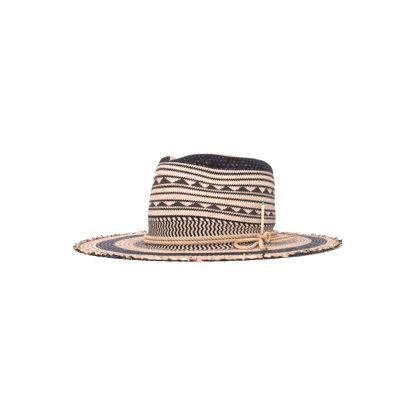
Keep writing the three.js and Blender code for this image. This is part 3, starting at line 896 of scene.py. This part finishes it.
def knotPath(knot):
    angle = np.radians(np.linspace(knot["start"], knot["end"], len(knot["radii"])))
    radius = np.array(knot["radii"])
    curl = np.stack([np.full(len(angle), knot["x"]), knot["y"] + radius * np.sin(angle),
                     knot["z"] + radius * np.cos(angle)], -1)
    return smoothPath(np.vstack([knot["lead"], curl, knot["tuck"]]), rope["step"])


# The bow's loops and its tail, as the middle of each rope, with where along it each is
# orange-brown
bow = {
    "front": {"node": "bow_loop_front", "tones": "twine", "diameter": 3.8, "end": "object",
              "burnAt": 0.66, "burnWidth": 0.07,
              "route": ((93.7, -9.2, 10.2), (93, -16, 9.8), (93.9, -23, 9.4), (96.8, -31, 9), (101, -40, 8.3),
                        (104.6, -48, 8.1), (106, -55, 8), (103, -61, 8), (97.7, -62.9, 8.1),
                        (91.1, -61.3, 8.4), (85.4, -57.7, 9.2), (81.4, -53.1, 10.8), (80.7, -47.6, 12.9),
                        (83.3, -41, 13.9), (86.1, -32.2, 14.1), (87.9, -25.1, 14.1), (89.5, -18.2, 14.1),
                        (91.2, -12, 14))},
    "back": {"node": "bow_loop_back", "tones": "twine", "diameter": 2.6, "end": "object",
             "burnAt": 0.5, "burnWidth": 0.1,
             "route": ((94.6, 7.8, 9), (98.4, 16, 9.3), (101.9, 28, 10.2), (104.6, 40, 11.1),
                       (105.9, 49, 12.1), (104.4, 56, 13.4), (99.9, 58.4, 14.2), (96.4, 53, 13.9),
                       (94.9, 43, 13.3), (94.2, 32, 12.9), (93.7, 21, 12.4), (92.9, 10, 12.3))},
    "tail": {"node": "rope_tail", "tones": "pale", "diameter": 4.6, "end": "bare",
             "burnAt": 1.0, "burnWidth": 0.12,
             "route": ((94.9, -16.5, 13.9), (97.6, -19.6, 12), (101.4, -25, 10.2), (106.5, -32, 9),
                       (112.5, -40, 8.6), (119, -47, 8.1), (125, -52, 7.8), (130, -54, 7.6))},
}


def makeBow(name, part):
    path = smoothPath(part["route"], rope["bowStep"])
    share = np.linspace(0, 1, len(path))
    burn = rope["burnShare"] * np.exp(-(((share - part["burnAt"]) / part["burnWidth"]) ** 2))
    piece = laidRope("bow_" + name, path, part["diameter"] * rope["fluff"], upwards, burn)
    material = twistedFibre(ropeLook, "plant fibre twine, bow " + name, part["tones"], part["diameter"] / 2)
    finish(piece, material, "rope", part["node"])


turnMaterial = twistedFibre(ropeLook, "plant fibre rope, three strands", "fibre", rope["diameter"] / 2)
for level, side in enumerate(("lower", "upper")):
    turn = laidRope("rope_around_" + side, bandLine(rope, level), rope["diameter"], upwards)
    finish(turn, turnMaterial, "rope", "rope_turn_" + side)
knotMaterial = twistedFibre(ropeLook, "plant fibre twine, knotted", "twine", knot["diameter"] / 2)
curl = laidRope("knot_curl", knotPath(knot), knot["diameter"] * rope["fluff"], outwards)
finish(curl, knotMaterial, "rope", "rope_knot")
for name, part in bow.items():
    makeBow(name, part)
print("rope tied")


# Match

# Aspen stick, split and sanded, with long pale grain
woodLook = {
    "roughness": 0.7, "specular": 0.3,
    "grain": ((0.25, "#e2cfb2"), (0.55, "#f1e2cd"), (0.9, "#f9eee0")),
    "fibresRound": 6.0, "fibreLength": 8.333, "fibreDetail": 4.0, "fibreRoughness": 0.5,
    "bump": 0.4, "relief": 0.1,
}
# Green striking paste, dipped and dried, with a gritty skin
pasteLook = {
    "roughness": 0.75, "specular": 0.3,
    "grit": ((0.3, "#459872"), (0.6, "#60ae89"), (0.85, "#88c6a6")),
    "blotch": 0.6667, "blotchDetail": 3.0, "bump": 0.6, "relief": 0.2,
}


def splitWood(look):
    material, tree, shader = newMaterial("aspen, split and sanded", look)
    grain = fibresAlong(tree, look)
    coat(tree, shader, look, addNode(tree, "ValToRGB", grain, stops=look["grain"])[0], grain)
    return material


def strikingPaste(look):
    material, tree, shader = newMaterial("striking paste, dipped and dried", look)
    grit = blotches(tree, look)
    coat(tree, shader, look, addNode(tree, "ValToRGB", grit, stops=look["grit"])[0], grit)
    return material


# foot and top are two places on the stick's line: azimuth, row and how far it stands clear there
match = {"length": 50, "width": 2.3, "steps": 12, "foot": (matchAt * degree, 131, 1.8),
         "top": (89.3 * degree, 104, 2.4), "uneven": 0.03, "bumps": 17,
         "headLength": 4.6, "headWidth": 3.2, "headSteps": 11, "headSides": 14, "headTrim": 0.02,
         "overlap": 0.6, "dropPower": 0.6, "dropLean": 1.15}


# The stick is a square section carried along its line, a little uneven. The head is a drop:
# radius * sin(pi * share^dropLean)^dropPower along its length, fuller towards its tip.
def makeMatch(match):
    foot = standOff(*match["foot"])
    way = unit(standOff(*match["top"]) - foot)
    headStart = match["length"] - match["headLength"]
    share = np.linspace(0, 1, match["steps"])
    path = foot + share[:, None] * (headStart + match["overlap"]) * way
    half = match["width"] / math.sqrt(2) * (1 + match["uneven"] * np.sin(share * match["bumps"]))
    stick = tubes("match_wood", path[None], half, half, outwards, 4, twist=np.pi / 4)
    stick.data.polygons.foreach_set("use_smooth", np.zeros(len(stick.data.polygons), bool))
    finish(stick, splitWood(woodLook), "match_wood", "match_stick")
    share = np.linspace(match["headTrim"], 1 - match["headTrim"], match["headSteps"])
    path = foot + (headStart + share[:, None] * match["headLength"]) * way
    radius = match["headWidth"] / 2 * np.sin(np.pi * share ** match["dropLean"]) ** match["dropPower"]
    head = tubes("match_dip", path[None], radius, radius, outwards, match["headSides"])
    finish(head, strikingPaste(pasteLook), "match_tip", "match_head")


makeMatch(match)
print("match tucked in")


# Stage

studio = {"roughness": 0.9, "specular": 0.1, "floor": "#fdfdfd", "floorHalf": 9000, "world": 1.12}
lights = {
    "above": {"place": (-300, -500, 1900), "aim": (0, 0, 40), "size": 1500, "watts": 16},
    "front": {"place": (900, -1700, 500), "aim": (0, 0, 60), "size": 1200, "watts": 16},
}


# Board with matt white paint, plain and pale
def makeStage(studio):
    material, tree, shader = newMaterial("board, matt white paint", studio)
    shader.inputs["Base Color"].default_value = linear(studio["floor"])
    half = studio["floorHalf"]
    corners = np.array([(-half, -half, 0), (half, -half, 0), (half, half, 0), (-half, half, 0)], float)
    floor = makeMesh("floor", corners, [np.array([[0, 1, 2, 3]])])
    floor.data.materials.append(material)
    world = bpy.data.worlds.new("studio")
    bpy.context.scene.world = world
    world.use_nodes = True
    background = world.node_tree.nodes["Background"]
    background.inputs["Color"].default_value = white
    background.inputs["Strength"].default_value = studio["world"]


def makeLight(name, light):
    data = bpy.data.lights.new(name, "AREA")
    data.shape = "DISK"
    data.size = light["size"] * metresPerMm
    data.energy = light["watts"]
    addAimed(name, data, light["place"], light["aim"])


makeStage(studio)
for name, light in lights.items():
    makeLight(name, light)
bpy.context.scene.view_settings.view_transform = "Standard"
bpy.context.scene.cycles.use_denoising = False  # it smears the weave
print("stage lit")
